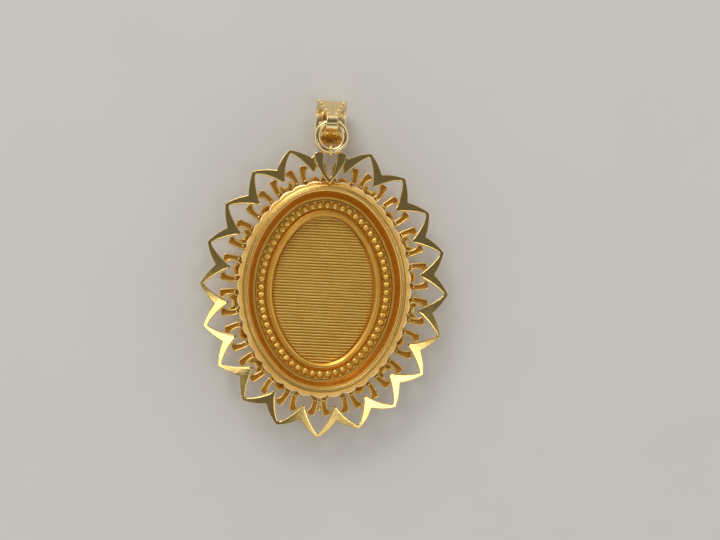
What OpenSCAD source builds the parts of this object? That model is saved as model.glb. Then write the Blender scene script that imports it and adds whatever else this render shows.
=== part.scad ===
// Oval picture locket: a shallow tray with a bead-edged inner frame, horseshoe
// brackets that carry a ring of pointed rays, a heart-shaped tab, a jump ring
// and a tapered strap bail for the chain.
// Frame: origin at the centre of the flat back, +Z out of the open face,
// +Y towards the bail. Heights are given above the back face. The "rim line"
// is the four-arc oval of the tray's rim, and every ring of the tray is an
// oval parallel to it, placed by its distance outside that line.

/* [Tray] */

// Half the height of the rim line
rim_half_h = 15.05; // [13:0.05:17]
// Distance of the oval's four arc centres from its middle: more makes it slimmer
arc_c = 5.544; // [4:0.001:7]
// Thickness of the back plate
back_t = 0.6; // [0.4:0.05:1]
// Height of the top of the outer wall
wall_top = 5.8; // [5:0.1:7]
// Thickness of the outer wall
wall_t = 0.4; // [0.3:0.05:0.6]
// Distance of the wall's outer face from the rim line
wall_out = -0.1; // [-0.3:0.05:0]
// Radius of the rounded bezel rim on top of the wall
bezel_r = 0.38; // [0.3:0.01:0.5]
// Height of the flat seat inside the tray
seat_z = 3.4; // [3.4:0.05:3.8]
// Thickness of the seat ring
seat_t = 0.25; // [0.2:0.05:0.5]
// Inner edge of the seat ring
seat_in = -1.62; // [-1.8:0.01:-1.4]
// Foot of the sloping liner, where the open part of the seat begins
liner_foot = -1.28; // [-1.5:0.01:-1]
// Thickness of the liner at the top of its slope
liner_top_t = 0.12; // [0.1:0.01:0.3]

/* [Ribbed panel] */

// Height of the flat face under the ribs
panel_z = 1.5; // [1.2:0.1:2]
// Thickness of the panel sheet
panel_t = 0.35; // [0.2:0.05:0.5]
// Number of ribs
rib_count = 50; // [30:1:60]
// Distance from rib to rib
rib_pitch = 0.432; // [0.4:0.002:0.6]
// Height of a rib
rib_h = 0.3; // [0.1:0.05:0.4]
// Width of a rib at its foot
rib_foot = 0.38; // [0.3:0.02:0.46]
// Width of a rib along its top
rib_top = 0.18; // [0.1:0.02:0.3]
// Distance of the ribbed field's edge from the rim line
rib_edge = -4.16; // [-4.6:0.02:-4.1]

/* [Inner picture frame] */

// Outer edge of the frame
frame_out = -1.72; // [-1.9:0.01:-1.66]
// Inner edge of the frame
frame_in = -4.06; // [-4.2:0.01:-3.8]
// Gap between the frame and the panel it rests on
frame_gap = 0.03; // [0.02:0.01:0.06]
// Height of the floor of the bead channel
channel_z = 2.6; // [2.3:0.1:3]
// Inner edge of the bead channel
channel_in = -3.0; // [-3.2:0.05:-2.8]
// Height of the thin lip outside the channel
lip_z = 2.98; // [2.7:0.01:3.15]
// Thickness of that lip
lip_t = 0.14; // [0.1:0.01:0.25]
// Number of beads round the channel
bead_count = 60; // [40:1:80]
// Radius of a bead
bead_r = 0.5; // [0.4:0.01:0.55]
// Height of a bead's centre above the channel floor
bead_lift = 0.25; // [0:0.05:0.35]

/* [Collar and gallery] */

// Outer edge of the sloping collar at the notches of its scallops
collar_notch = 0.78; // [0.6:0.01:0.9]
// Depth of the scallops
scallop = 0.37; // [0.1:0.01:0.4]
// Number of scallops
scallop_count = 40; // [20:20:80]
// Distance of the collar's top crease from the rim line
collar_crease = 0.25; // [0.2:0.01:0.3]
// Distance at which the collar's slope would end without its scallops
collar_reach = 1.25; // [1.2:0.05:1.4]
// Height of the slope there
collar_edge_z = 4.95; // [4.8:0.05:5.2]
// Thickness of the collar sheet
collar_t = 0.28; // [0.2:0.02:0.4]
// Height of the lower gallery ring
gallery_z = 2.4; // [2:0.1:3]
// Thickness of the lower gallery ring
gallery_t = 0.4; // [0.3:0.05:0.6]
// Inner end of the gallery's lobes, where neighbours join
lobe_foot = 0.6; // [0.4:0.05:0.8]
// Length of a lobe at its middle
lobe_len = 1.3; // [1:0.05:1.5]
// Length of the two lobes beside the bottom link
lobe_stub = 0.3; // [0.2:0.05:0.6]
// Extra length of the two horns on each broad lobe
lobe_horn = 1.1; // [0.5:0.05:1.2]

/* [Rays and brackets] */

// Number of places round the edge: one heart tab and the rest rays
place_count = 20; // [16:1:24]
// Distance of a ray's point from the rim line
ray_out = 6.6; // [5:0.1:8]
// Extra length of the ray opposite the heart tab
low_ray_extra = 0.4; // [0:0.05:0.6]
// Distance of the notch between two rays
notch_out = 4.62; // [4:0.02:5.5]
// Distance of the blunt inner tip between two slots
tip_out = 2.46; // [2.2:0.02:3]
// Distance of the top of a slot
slot_out = 5.9; // [5:0.05:6.2]
// Bulge of the slots' sides
slot_bulge = 0.15; // [0:0.01:0.5]
// Bulge of the rays' outer edges
ray_bulge = 0.1; // [0:0.02:0.2]
// Height of the underside of the rays where they sit on the brackets
ray_z = 4.5; // [4:0.1:5]
// Thickness of the ray plate
ray_t = 0.45; // [0.3:0.05:0.6]
// Fall of the ray plate towards its points, in degrees
ray_fall = 10; // [0:1:20]
// Height of the underside of the horseshoe brackets
shoe_z = 3.5; // [3:0.1:4]
// Height of the top edges of the brackets
shoe_top = 4.4; // [4:0.1:4.8]
// Width of a bracket's strip
shoe_w = 0.96; // [0.8:0.02:1.1]
// Width of the groove along the strip
groove_w = 0.48; // [0.3:0.02:0.7]
// Depth of the groove
groove_d = 0.2; // [0.1:0.05:0.4]
// Radius of a bracket's arch, to the middle of the strip
arch_r = 1.58; // [1.4:0.01:1.65]
// Distance of the arch's centre from the rim line
arch_out = 1.85; // [1.7:0.01:1.9]
// Radius of a bracket's round foot
foot_r = 0.56; // [0.5:0.02:0.6]
// Distance of a foot from the bracket's middle
foot_x = 1.52; // [1.5:0.01:1.6]
// Distance of a foot from the rim line
foot_out = 2.97; // [2.9:0.01:3]
// Radius of the heel beside each foot, which carries the rays
heel_r = 0.45; // [0.4:0.01:0.5]
// Distance of a heel inward of its foot
heel_in = 0.5; // [0.4:0.05:0.6]

/* [Heart tab] */

// Distance of the heart's tip from the rim line
heart_out = 0.35; // [0.35:0.05:0.6]
// Half the width of the heart
heart_half_w = 2.38; // [2:0.02:2.6]
// Height of the underside of the heart plate
heart_z = 5.72; // [5.5:0.02:6]
// Thickness of the heart plate
heart_t = 0.48; // [0.3:0.02:0.6]
// Thickness of the heart's side walls
skirt_t = 0.35; // [0.25:0.05:0.5]

/* [Ring and bail] */

// Outer diameter of the jump ring
ring_od = 5.15; // [4.5:0.05:6]
// Diameter of the ring's wire
ring_wire = 0.97; // [0.8:0.01:1.1]
// Distance of the ring's centre from the rim line
ring_out = 7.4; // [7.35:0.05:7.6]
// Height of the ring's middle plane
ring_z = 7; // [6.8:0.1:7.5]
// Radius of the eye that holds the ring, to the middle of its wire
eye_r = 0.8; // [0.7:0.01:0.9]
// Diameter of the eye's wire
eye_wire = 0.34; // [0.25:0.01:0.4]
// Full width of the bail's strap
bail_w = 4.5; // [4:0.1:5]
// Thickness of the bail's strap
strap_t = 0.45; // [0.3:0.05:0.6]
// Inner radius of the bail's narrow top, round the ring's wire
bail_top_r = 0.82; // [0.7:0.01:0.95]
// Inner radius of the bail's large loop
bail_loop_r = 2.93; // [2.6:0.01:2.95]
// Distance of the large loop's centre below the ring's wire
bail_drop = 3.55; // [3.4:0.05:3.7]
// Distance of that centre outward of the ring's wire
bail_reach = 0.14; // [0.1:0.01:0.35]
// Radius of the beads along the bail's edges
grain_r = 0.32; // [0.2:0.01:0.35]
// Spacing of those beads along the strap
grain_step = 0.95; // [0.8:0.05:1.2]

/* [Hidden] */

$fn = 96;
function numbered(stem, n) = [for (i = [1 : n]) str(stem, i < 10 ? "_0" : "_", i)];
SHOES = numbered("horseshoe", place_count);

GOLD = [0.83, 0.68, 0.36];
SATIN_GOLD = [0.78, 0.55, 0.20];
RED_GOLD = [0.72, 0.42, 0.16];

// Four-arc oval: two end arcs and two side arcs of 90 degrees each. The side
// arcs' radius is larger by the distance between two centres, which is rounded
// to four places. At arc_c = 5.544 the rounding changes nothing, so the arcs
// of every ring meet exactly.
centre_step = round(arc_c * sqrt(2) * 10000) / 10000;
end_r = rim_half_h - arc_c;
side_r = end_r + centre_step;
far = 9;            // beyond everything, measured from the rim line
high = 12;          // above everything
shoe_low = shoe_top - groove_d;
seat_step = 0.1;    // step of the seat under the liner
bezel_lift = 0.2;   // height of the bezel's middle above the wall
crease_drop = 0.1;  // extra thickness of the collar at its crease
leg_lean = 3;       // lean of the legs towards each other, in degrees
heel_rise = 0.17;   // distance of a heel outward of its foot
bezel_mid = -0.22;  // middle of the bezel, from the rim line
solder_turn = 20;   // place of the solder grains, down the arch from its widest
solder_r = 0.22;
lobe_span = 0.25;   // half the width of a lobe, as a share of a place
horn_place = 0.72;  // place of a horn on its lobe, from the middle to the side
horn_width = 0.45;
wall_in = wall_out - wall_t;
ring_r = (ring_od - ring_wire) / 2;
ring_y = rim_half_h + ring_out;
eye_y = ring_y - ring_r;
hook_y = ring_y + ring_r;
loop_y = hook_y + bail_reach;
loop_z = ring_z - bail_drop;
heart_top = heart_z + heart_t;

// A place round the oval. turn is the share of a full turn, clockwise from the
// top, in equal lengths along the oval at distance along. The answer is
// [centre x, centre y, direction from +Y clockwise, radius of the rim line].
function quarter(s, end_len, along) =
    s <= end_len
    ? [0, arc_c, s / (end_r + along) * 180 / PI, end_r]
    : [-arc_c, 0, 45 + (s - end_len) / (side_r + along) * 180 / PI, side_r];
function place(turn, along) =
    let (
        end_len = (end_r + along) * PI / 4,
        side_len = (side_r + along) * PI / 4,
        four = (turn - floor(turn)) * 4,
        q = floor(four),
        s = (four - q) * (end_len + side_len),
        p = quarter(q % 2 == 0 ? s : end_len + side_len - s, end_len, along)
    )
    q == 0 ? p
    : q == 1 ? [p[0], -p[1], 180 - p[2], p[3]]
    : q == 2 ? [-p[0], -p[1], 180 + p[2], p[3]]
    : [-p[0], p[1], 360 - p[2], p[3]];

// The point at distance out from the rim line, at such a place.
function spot(turn, along, out) =
    let (p = place(turn, along))
    [p[0] + (p[3] + out) * sin(p[2]), p[1] + (p[3] + out) * cos(p[2])];

// Half the width of the oval at distance out, at height y of the face.
function half_chord(y, out) =
    abs(y) <= (side_r + out) * sin(45)
    ? sqrt(pow(side_r + out, 2) - y * y) - arc_c
    : sqrt(pow(end_r + out, 2) - pow(abs(y) - arc_c, 2));

// Underside of the ray plate at distance out.
function ray_under(out) = ray_z - tan(ray_fall) * (out - 3.4);

// Children are drawn with x along the oval and y as distance outside the rim.
module at_place(turn, along) {
    p = place(turn, along);
    translate([p[0], p[1], 0]) rotate(-p[2]) translate([0, p[3], 0]) children();
}

// Sweeps a profile of [distance outside the rim line, height] round the oval.
module round_oval() {
    for (turn = [0, 180]) rotate(turn) {
        translate([0, arc_c, 0])
            rotate_extrude(angle = 90, start = 45) translate([end_r, 0]) children();
        translate([-arc_c, 0, 0])
            rotate_extrude(angle = 90, start = -45) translate([side_r, 0]) children();
    }
}

// A flat oval plate from z0 to z1 whose edge is at distance out.
module oval_plate(out, z0, z1) {
    for (turn = [0, 180]) rotate(turn) {
        translate([0, arc_c, z0])
            rotate_extrude(angle = 90, start = 45) square([end_r + out, z1 - z0]);
        translate([-arc_c, 0, z0])
            rotate_extrude(angle = 90, start = -45) square([side_r + out, z1 - z0]);
    }
}

// A flat oval ring between two distances from the rim line.
module oval_band(inside, outside, z0, z1) {
    round_oval() translate([inside, z0]) square([outside - inside, z1 - z0]);
}

/* Tray */

module back_plate() {
    color(GOLD) oval_plate(0.25, 0, back_t);
}

module case_wall() {
    color(GOLD) oval_band(wall_in, wall_out, back_t, wall_top);
}

module panel_spacer() {
    color(GOLD) oval_band(seat_in, wall_in, back_t, panel_z - panel_t);
}

module ribbed_panel() {
    color(SATIN_GOLD) {
        oval_plate(wall_in, panel_z - panel_t, panel_z);
        for (i = [0 : rib_count - 1]) {
            y = (i - (rib_count - 1) / 2) * rib_pitch;
            reach = half_chord(abs(y) + rib_pitch / 2, rib_edge);
            translate([-reach, y, panel_z])
                rotate([90, 0, 90])
                linear_extrude(2 * reach)
                polygon([
                    [-rib_foot / 2, -panel_t / 2], [rib_foot / 2, -panel_t / 2], [rib_foot / 2, 0],
                    [rib_top / 2, rib_h], [-rib_top / 2, rib_h], [-rib_foot / 2, 0]
                ]);
        }
    }
}

// The seat steps down under the liner, so that only its open part is a flat.
module seat_ring() {
    color(SATIN_GOLD)
        round_oval()
        polygon([
            [seat_in, seat_z - seat_t], [wall_in, seat_z - seat_t], [wall_in, seat_z - seat_step],
            [liner_foot, seat_z - seat_step], [liner_foot, seat_z], [seat_in, seat_z]
        ]);
}

module wall_liner() {
    color(SATIN_GOLD)
        round_oval()
        polygon([
            [liner_foot, seat_z - seat_step], [wall_in, seat_z - seat_step], [wall_in, wall_top],
            [wall_in - liner_top_t, wall_top], [liner_foot, seat_z]
        ]);
}

module bezel_rim() {
    color(GOLD)
        round_oval()
        intersection() {
            translate([bezel_mid, wall_top + bezel_lift]) circle(bezel_r);
            translate([-1, wall_top]) square([2, 1]);
        }
}

/* Collar, gallery and brackets */

// Outline of the collar: convex scallops that meet in notches.
function scallops() = [
    for (i = [0 : scallop_count * 8 - 1])
        let (turn = i / (scallop_count * 8))
        spot(turn, ray_out, collar_notch + scallop * pow(abs(cos(180 * scallop_count * turn)), 0.8))
];

module scalloped_collar() {
    crease = [collar_crease, wall_top];
    tip = [collar_reach, collar_edge_z];
    color(GOLD)
        intersection() {
            round_oval()
                polygon([
                    [wall_out, wall_top - collar_t], [wall_out, wall_top], crease, tip,
                    tip - [0, collar_t], crease - [0, collar_t + crease_drop]
                ]);
            linear_extrude(high) polygon(scallops());
        }
}

// Outline of the gallery ring: a lobe under each bracket. s runs from -1 to 1
// across a lobe. n counts the lobes from the heart tab down either side: odd
// ones are broad, with a horn on each side, and the lowest is only a stub.
function horn(s) = pow(max(0, 1 - pow((abs(s) - horn_place) / horn_width, 2)), 2);
function gallery_lobe(s, n) =
    let (low = n == place_count / 2 - 1)
    lobe_foot + (low ? lobe_stub : lobe_len) * sqrt(cos(90 * s))
    + (n % 2 == 1 && !low ? lobe_horn * horn(s) : 0);
function gallery_outline() = [
    for (i = [0 : place_count - 1], k = [-8 : 8])
        let (s = k / 8)
        spot((i + 0.5 + lobe_span * s) / place_count, ray_out, gallery_lobe(s, min(i, place_count - 1 - i)))
];

module gallery_ring() {
    color(SATIN_GOLD)
        difference() {
            translate([0, 0, gallery_z]) linear_extrude(gallery_t) polygon(gallery_outline());
            oval_plate(wall_out, gallery_z - 1, gallery_z + 1);
        }
}

// Section of a bracket's strip, or of the groove along it, about its middle.
module strip_section(width, z0, z1) {
    translate([-width / 2, z0]) square([width, z1 - z0]);
}

// The bent line of a bracket: an arch, two legs that lean inward, and two feet.
// The section is given as a width and two heights, and the feet as a radius.
module shoe_line(width, z0, z1, foot, foot_z1) {
    lap = 0.1;
    leg_len = foot_out - arch_out;
    translate([0, arch_out, 0])
        rotate_extrude(angle = 180 + 2 * leg_lean, start = 180 - leg_lean)
        translate([arch_r, 0]) strip_section(width, z0, z1);
    for (side = [0, 1]) mirror([side, 0, 0]) {
        translate([0, arch_out, z0])
            rotate(leg_lean)
            translate([arch_r - width / 2, -lap, 0])
            cube([width, leg_len + lap, z1 - z0]);
        translate([foot_x, foot_out, z0]) cylinder(r = foot, h = foot_z1 - z0);
    }
}

// One whole bracket in its own place. Its arch is soldered to the wall, and
// its heels rise to the underside of the rays.
module bracket(i) {
    turn = (i + 0.5) / place_count;
    difference() {
        at_place(turn, ray_out)
            difference() {
                union() {
                    shoe_line(shoe_w, shoe_z, shoe_top, foot_r, shoe_top);
                    for (side = [-1, 1])
                        translate([side * (foot_x - heel_in), foot_out + heel_rise, shoe_z])
                        cylinder(r = heel_r, h = ray_z + ray_t - shoe_z);
                }
                shoe_line(groove_w, shoe_low, high, foot_r / 2, high);
            }
        oval_plate(wall_out, shoe_z - 1, high);
        round_oval() polygon([
            [2, ray_under(2)], [far, ray_under(far)], [far, high], [2, high]
        ]);
    }
}

module horseshoe(i) {
    color(RED_GOLD) bracket(i);
}

// Small bead that bridges the gap between the two lowest brackets, with a
// drop of metal under it.
module bottom_link() {
    bead = [0, 1.8, 0];
    drop = [0, 2.6, 0];
    color(SATIN_GOLD)
        difference() {
            at_place(0.5, ray_out) translate([0, 0, shoe_z + 0.2]) {
                translate(bead) cylinder(r = 0.55, h = 0.45);
                translate(drop) cylinder(r = 0.5, h = 0.45);
            }
            bracket(place_count / 2 - 1);
            bracket(place_count / 2);
        }
}

// A grain of solder at the root of each leg, on the floor of the groove.
module solder_beads() {
    color(GOLD)
        for (i = [0 : place_count - 1], side = [-1, 1])
            at_place((i + 0.5) / place_count, ray_out)
            translate([side * arch_r * cos(solder_turn), arch_out - arch_r * sin(solder_turn), shoe_low])
            intersection() {
                translate([0, 0, solder_r / 2]) sphere(r = solder_r);
                translate([-1, -1, 0]) cube(2);
            }
}

/* Rays and heart tab */

// Distance of a slot's side, and of a ray's outer edge, at share t of the way
// from the middle of a notch to the middle of a ray.
tip_t = 0.13;
function slot_side(t) =
    let (s = (t - tip_t) / (1 - tip_t))
    tip_out + (slot_out - tip_out) * s + 4 * slot_bulge * s * (1 - s);
function ray_edge(t, reach) = notch_out + (reach - notch_out) * t + 4 * ray_bulge * t * (1 - t);

// The outline runs out along the points, from the stub right of the heart to
// the stub left of it, and back along the slots.
stub_t = 0.345;
function ray_reach(i) = ray_out + (i == place_count / 2 ? low_ray_extra : 0);
function notch_turn(i, t, side) = (i + 0.5 + side * t / 2) / place_count;
function ray_outer() = [
    for (i = [0 : place_count - 1], side = [-1, 1])
        let (
            stub = (i == 0 && side < 0) || (i == place_count - 1 && side > 0),
            reach = ray_reach(side < 0 ? i : i + 1)
        )
        for (k = [0 : 4])
            let (t = (side < 0 ? 4 - k : k) / 4 * (stub ? stub_t : 1))
            spot(notch_turn(i, t, side), ray_out, ray_edge(t, reach))
];
function ray_inner() = [
    for (i = [0 : place_count - 1], side = [-1, 1])
        let (
            stub = (i == 0 && side < 0) || (i == place_count - 1 && side > 0),
            stretch = ray_reach(side < 0 ? i : i + 1) - ray_out
        )
        for (k = [0 : 6])
            let (
                last = stub ? stub_t : 1,
                t = tip_t + (side < 0 ? 6 - k : k) / 6 * (last - tip_t)
            )
            spot(notch_turn(i, t, side), ray_out, slot_side(t) + stretch * t)
];
function reversed(points) = [for (i = [len(points) - 1 : -1 : 0]) points[i]];

module ray_frame() {
    color(GOLD)
        intersection() {
            round_oval() polygon([
                [2, ray_under(2)], [far, ray_under(far)],
                [far, ray_under(far) + ray_t], [2, ray_under(2) + ray_t]
            ]);
            linear_extrude(high) polygon(concat(ray_outer(), reversed(ray_inner())));
        }
}

// Right half of the heart's outline as [x, distance from its tip], from the
// tip to the seat of the eye, drawn in by inset.
function heart_half(inset) = [
    [0, 1.7 * inset], [0.55 - inset * 0.4, 0.67 + inset], [1.2 - inset, 1.6 + inset * 0.7],
    [1.8 - inset, 2.55], [2.2 - inset, 3.45], [heart_half_w - inset, 4.1],
    [heart_half_w - inset, 4.45 - inset * 0.6], [2.1 - inset, 4.71 - inset], [1.5, 4.85 - inset],
    [1.05, 4.97 - inset], [0.9, 5.5 - inset], [0, 5.55 - inset]
];
slot_half = [[0, 0.97], [0.34, 1.33], [0.66, 1.95], [0.86, 2.65], [0.98, 3.65], [1, 4.6]];
skirt_from = 2.55;  // where the side walls start, from the heart's tip
skirt_len = 2.1;

// A closed outline from its right half, at the top of the oval.
module two_sided(half) {
    translate([0, rim_half_h + heart_out])
        polygon(concat(half, [for (p = reversed(half)) if (p[0] > 0) [-p[0], p[1]]]));
}

module heart_tab() {
    color(GOLD) {
        translate([0, 0, heart_z])
            linear_extrude(heart_t)
            difference() {
                two_sided(heart_half(0));
                two_sided(slot_half);
            }
        difference() {
            linear_extrude(heart_z)
                intersection() {
                    difference() {
                        two_sided(heart_half(0));
                        two_sided(heart_half(skirt_t));
                    }
                    translate([-far, rim_half_h + heart_out + skirt_from])
                        square([2 * far, skirt_len]);
                }
            round_oval() polygon([
                [2, 0], [far, 0], [far, ray_under(far) + ray_t], [2, ray_under(2) + ray_t]
            ]);
        }
    }
}

module hanging_eye() {
    color(GOLD)
        intersection() {
            translate([0, eye_y, ring_z])
                rotate([0, 90, 0])
                rotate_extrude() translate([eye_r, 0]) circle(d = eye_wire);
            translate([-1, eye_y - 2, heart_top]) cube([2, 4, 4]);
        }
}

/* Inner picture frame */

module frame_channel() {
    low = panel_z + frame_gap;
    color(SATIN_GOLD)
        round_oval()
        polygon([
            [channel_in, low], [frame_out, low], [frame_out, lip_z], [frame_out - lip_t, lip_z],
            [frame_out - lip_t, channel_z], [channel_in, channel_z]
        ]);
}

module frame_beads() {
    mid = (frame_out - lip_t + channel_in) / 2;
    color(SATIN_GOLD)
        for (i = [0 : bead_count - 1])
            at_place(i / bead_count, mid)
            translate([0, mid, channel_z])
            intersection() {
                translate([0, 0, bead_lift]) sphere(bead_r, $fn = 48);
                translate([-1, -1, 0]) cube(2);
            }
}

module frame_inner_ring() {
    low = panel_z + frame_gap;
    half = (channel_in - frame_in) / 2;
    color(SATIN_GOLD)
        round_oval()
        translate([frame_in + half, 0]) {
            translate([0, channel_z + 0.12]) circle(half);
            translate([-half, low]) square([2 * half, channel_z + 0.12 - low]);
        }
}

/* Ring and bail */

module jump_ring() {
    color(GOLD)
        translate([0, ring_y, ring_z])
        rotate_extrude() translate([ring_r, 0]) circle(d = ring_wire);
}

// The bail's side view is two arcs, a small one round the ring's wire and a
// large one below, joined by their outer tangents. Angles turn from +Y to +Z.
bail_span = sqrt(pow(bail_reach, 2) + pow(bail_drop, 2));
bail_up = atan2(bail_drop, -bail_reach);
bail_flare = acos((bail_loop_r - bail_top_r) / bail_span);
flank_len = bail_span * sin(bail_flare);
bail_top = [hook_y, ring_z];
bail_low = [loop_y, loop_z];
function toward(angle) = [cos(angle), sin(angle)];

// Stands a drawing of Y and Z up in the plane x = 0.
module upright() {
    rotate([90, 0, 90]) children();
}

// A piece of strap bent round a centre, from one angle through a sweep.
module strap_arc(centre, r, from, sweep) {
    upright()
        translate(centre)
        rotate_extrude(angle = sweep, start = from)
        translate([r, -bail_w / 2 - 0.5]) square([strap_t, bail_w + 1]);
}

// The straight piece of strap on one side, lapped a little into both arcs.
module strap_flank(side) {
    aim = bail_up + side * bail_flare;
    lap = 0.03;
    upright()
        translate(bail_low)
        rotate(aim)
        translate([bail_loop_r, side > 0 ? -flank_len - lap : -lap, -bail_w / 2 - 0.5])
        cube([strap_t, flank_len + 2 * lap, bail_w + 1]);
}

// Half the strap's width at a height: narrow over the ring's wire, full below.
strap_taper = [[3.6, bail_w / 2], [5.6, 1.88], [6.7, 1.3], [7.2, 1], [8.4, 0.8]];
function strap_half(z) = lookup(z, strap_taper);

module bail_strap() {
    color(GOLD)
        intersection() {
            union() {
                strap_arc(bail_top, bail_top_r, bail_up - bail_flare, 2 * bail_flare);
                strap_flank(-1);
                strap_flank(1);
                strap_arc(bail_low, bail_loop_r, bail_up + bail_flare, 360 - 2 * bail_flare);
            }
            translate([0, loop_y + 6, 0])
                rotate([90, 0, 0])
                linear_extrude(12)
                polygon([
                    [-bail_w / 2, -1], [bail_w / 2, -1],
                    for (step = strap_taper) [step[1], step[0]],
                    for (step = reversed(strap_taper)) [-step[1], step[0]]
                ]);
        }
}

// Beads along one edge of the strap's outer face, on the outward side. They
// follow the straight flank and then the large loop down past its middle.
// Each place is [angle of the face there, point of the face], at a distance
// along the face from the top of the flank.
function grain_place(aim, face_r, along) =
    let (turn = aim - max(0, along - flank_len) / face_r * 180 / PI)
    [turn, bail_low + face_r * toward(turn) + max(0, flank_len - along) * toward(aim + 90)];

module bail_beads(side) {
    aim = bail_up - bail_flare;
    face_r = bail_loop_r + strap_t;
    difference() {
        for (k = [0 : 6])
            let (bead = grain_place(aim, face_r, grain_step * (k + 0.35)))
            translate([side * (strap_half(bead[1][1]) - grain_r), bead[1][0], bead[1][1]])
            rotate([bead[0] - 90, 0, 0])
            sphere(r = grain_r, $fn = 32);
        strap_flank(-1);
        strap_arc(bail_low, bail_loop_r, aim - 90, 90);
    }
}

module bail_beads_left() {
    color(GOLD) bail_beads(-1);
}

module bail_beads_right() {
    color(GOLD) bail_beads(1);
}

back_plate();
case_wall();
panel_spacer();
ribbed_panel();
seat_ring();
wall_liner();
bezel_rim();
scalloped_collar();
gallery_ring();
for (i = [0 : place_count - 1]) horseshoe(i);
bottom_link();
solder_beads();
ray_frame();
heart_tab();
hanging_eye();
frame_channel();
frame_beads();
frame_inner_ring();
jump_ring();
bail_strap();
bail_beads_left();
bail_beads_right();
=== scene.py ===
"""Looks of an oval picture locket: tray, beaded inner frame, rays, heart tab, ring and bail."""
import math
import random

import bmesh
import bpy
from mathutils import Matrix, Vector


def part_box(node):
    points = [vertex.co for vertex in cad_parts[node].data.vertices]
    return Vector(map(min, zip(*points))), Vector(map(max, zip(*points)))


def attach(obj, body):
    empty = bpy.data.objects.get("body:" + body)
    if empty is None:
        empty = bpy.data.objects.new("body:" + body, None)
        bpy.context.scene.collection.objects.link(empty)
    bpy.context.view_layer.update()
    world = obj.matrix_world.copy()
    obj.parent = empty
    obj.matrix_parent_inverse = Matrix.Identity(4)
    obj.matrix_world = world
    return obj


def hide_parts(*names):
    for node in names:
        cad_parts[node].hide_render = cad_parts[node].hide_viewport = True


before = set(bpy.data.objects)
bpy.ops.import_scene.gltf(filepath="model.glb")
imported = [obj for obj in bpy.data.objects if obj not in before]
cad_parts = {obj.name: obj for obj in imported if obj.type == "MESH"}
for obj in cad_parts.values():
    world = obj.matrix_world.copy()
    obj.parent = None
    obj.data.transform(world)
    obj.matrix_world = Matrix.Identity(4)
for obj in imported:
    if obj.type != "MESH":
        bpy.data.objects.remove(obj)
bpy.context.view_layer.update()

MM = 0.001
random.seed(7)

# ---------------------------------------------------------------- measures
# Lengths below are in millimetres, in the frame's own axes. The rim line is a
# four-arc oval, and each ring of the tray is placed by its distance outside it.


def node_box(node):
    """A CAD node's lowest and highest corner, in millimetres."""
    low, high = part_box(node)
    return Vector(low) / MM, Vector(high) / MM


OVAL_STEPS = 320
WALL_BOX = node_box("case_wall")
RIM_HALF_H = WALL_BOX[1].y + 0.1
ARC_C = 5.544
END_R = RIM_HALF_H - ARC_C
SIDE_R = END_R + ARC_C * math.sqrt(2)
WALL_TOP = WALL_BOX[1].z
WALL_IN = -0.5
WALL_OUT = -0.1
BACK_T = node_box("back_plate")[1].z
SEAT_Z = node_box("seat_ring")[1].z
SEAT_IN = -1.62
LINER_FOOT = -1.28
PANEL_TOP = node_box("ribbed_panel")[1].z
RIB_H = 0.3
PANEL_Z = PANEL_TOP - RIB_H
RIB_COUNT = 50
RIB_PITCH = 0.432
RIB_EDGE = -4.16
FRAME_LOW = node_box("frame_channel")[0].z
LIP_Z = node_box("frame_channel")[1].z
CHANNEL_Z = 2.6
FRAME_OUT = -1.72
LIP_T = 0.14
CHANNEL_IN = -3.0
FRAME_IN = -4.06
INNER_TOP = node_box("frame_inner_ring")[1].z
BEAD_COUNT = 60
BEAD_R = 0.5
PLACES = 20
RAY_OUT = 6.6
LOW_RAY_EXTRA = 0.4
NOTCH_OUT = 4.62
TIP_OUT = 2.46
TIP_T = 0.13
SLOT_OUT = 5.9
SLOT_BULGE = 0.15
RAY_BULGE = 0.1
STUB_T = 0.345
RAY_Z = 4.5
RAY_T = 0.45
RAY_FALL = math.tan(math.radians(10))
RAY_LEVEL_OUT = 3.4
RAY_SOFT = 0.13
RAY_FINE = 0.05
SHOE_Z = 3.5
SHOE_TOP = 4.4
GROOVE_D = 0.2
SHOE_HALF_W = 0.48
ARCH_R = 1.58
ARCH_OUT = 1.85
LEG_R = 8.0
FOOT_OUT = 3.25
SOLDER_TURN = math.radians(20)
COLLAR_NOTCH = 0.78
SCALLOP = 0.37
SCALLOPS = 40
COLLAR_CREASE = 0.25
COLLAR_REACH = 1.25
COLLAR_EDGE_Z = 4.95
COLLAR_T = 0.28
GALLERY_Z = node_box("gallery_ring")[0].z
GALLERY_TOP = node_box("gallery_ring")[1].z
LOBE_SPAN = 0.25
LOBE_FOOT = 0.6
LOBE_LEN = 1.3
LOBE_STUB = 0.3
HORN_LEN = 1.1
HORN_PLACE = 0.72
HORN_WIDTH = 0.45
HEART_OUT = 0.35
HEART_Z = 5.72
HEART_TOP = 6.2
RING_BOX = node_box("jump_ring")
RING_Y = (RING_BOX[0].y + RING_BOX[1].y) / 2
RING_Z = (RING_BOX[0].z + RING_BOX[1].z) / 2
WIRE_R = (RING_BOX[1].z - RING_BOX[0].z) / 2
RING_R = (RING_BOX[1].y - RING_BOX[0].y) / 2 - WIRE_R
EYE_R = 0.8
EYE_WIRE_R = 0.17
BAIL_HALF_W = 2.25
STRAP_T = 0.45
BAIL_TOP_R = 0.82
BAIL_LOOP_R = 2.93
BAIL_DROP = 3.55
BAIL_REACH = 0.14
GRAIN_R = 0.32
GRAIN_STEP = 0.95
GRAIN_COUNT = 7
# Each step is (height, half the strap's width).
STRAP_TAPER = ((3.6, BAIL_HALF_W), (5.6, 1.88), (6.7, 1.3), (7.2, 1.0), (8.4, 0.8))


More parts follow.
